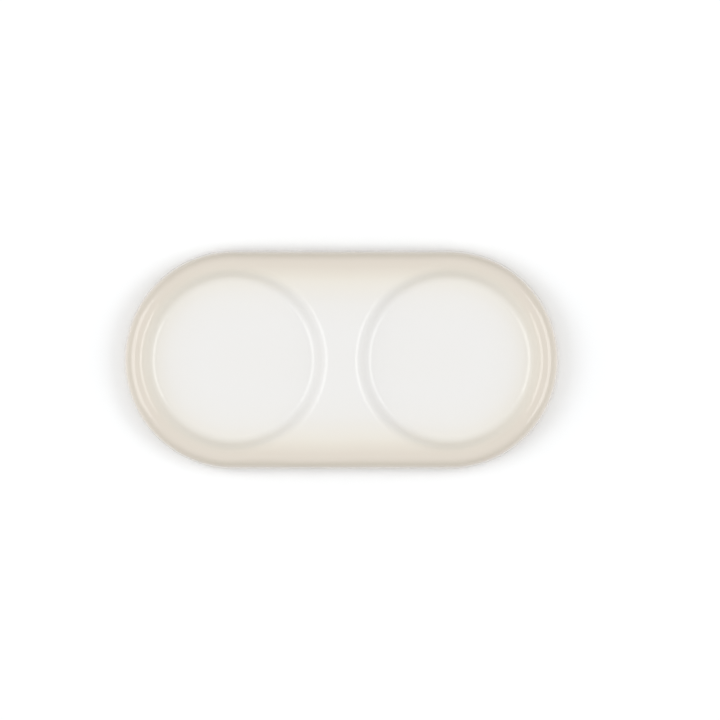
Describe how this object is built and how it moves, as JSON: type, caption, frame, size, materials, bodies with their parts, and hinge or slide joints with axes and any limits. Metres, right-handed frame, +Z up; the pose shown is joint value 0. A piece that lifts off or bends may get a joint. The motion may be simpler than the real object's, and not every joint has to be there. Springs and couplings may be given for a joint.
{
  "type": "pepper mill tray",
  "caption": "Oblong glazed stoneware tray with half-round ends and shallow round wells side by side, each keeping the base of a standing salt or pepper mill in place.",
  "frame": {"origin": "on the table, under the middle of the tray", "axes": "+X along the tray from one well to the other, +Y across it to the back, +Z up out of the wells"},
  "size_m": [0.1898, 0.0956, 0.015],
  "materials": {
    "bare_stoneware": "matte",
    "face_glaze": "gloss",
    "base_glaze": "gloss"
  },
  "bodies": {
    "root": {"stoneware_body": "bare_stoneware", "face_glaze": "face_glaze", "base_glaze": "base_glaze"}
  },
  "joints": []
}
